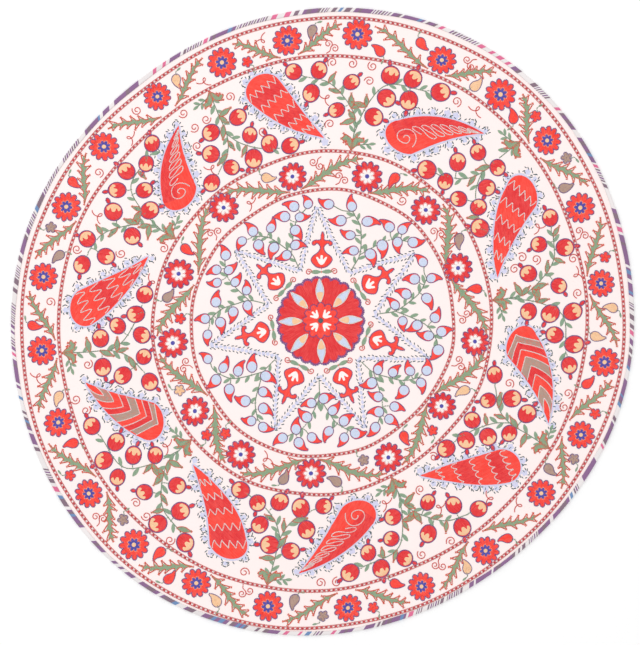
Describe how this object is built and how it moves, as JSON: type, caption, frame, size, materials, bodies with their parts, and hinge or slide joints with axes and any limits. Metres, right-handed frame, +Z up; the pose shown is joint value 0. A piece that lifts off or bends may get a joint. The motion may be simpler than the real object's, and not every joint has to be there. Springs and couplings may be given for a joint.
{
  "type": "round suzani embroidered cloth",
  "caption": "Round cream cloth with dense traditional embroidery, laid flat face up, with a narrow striped binding folded over its uneven edge.",
  "frame": {"origin": "on the surface that the cloth lies on, under the middle of the cloth", "axes": "+Z up out of the embroidered face; +Y towards the top of the design as it is shown, +X to its right"},
  "size_m": [0.9984, 1.006, 0.0038],
  "materials": {
    "ground": "matte cream woven cloth",
    "binding": "striped cotton strip, plum with cream, pink and blue",
    "red_thread": "silk embroidery thread, low sheen",
    "green_thread": "silk embroidery thread, low sheen",
    "violet_thread": "silk embroidery thread, low sheen",
    "pale_thread": "silk embroidery thread, low sheen"
  },
  "bodies": {
    "root": {"ground_cloth": "ground", "edge_binding": "binding"}
  },
  "joints": []
}
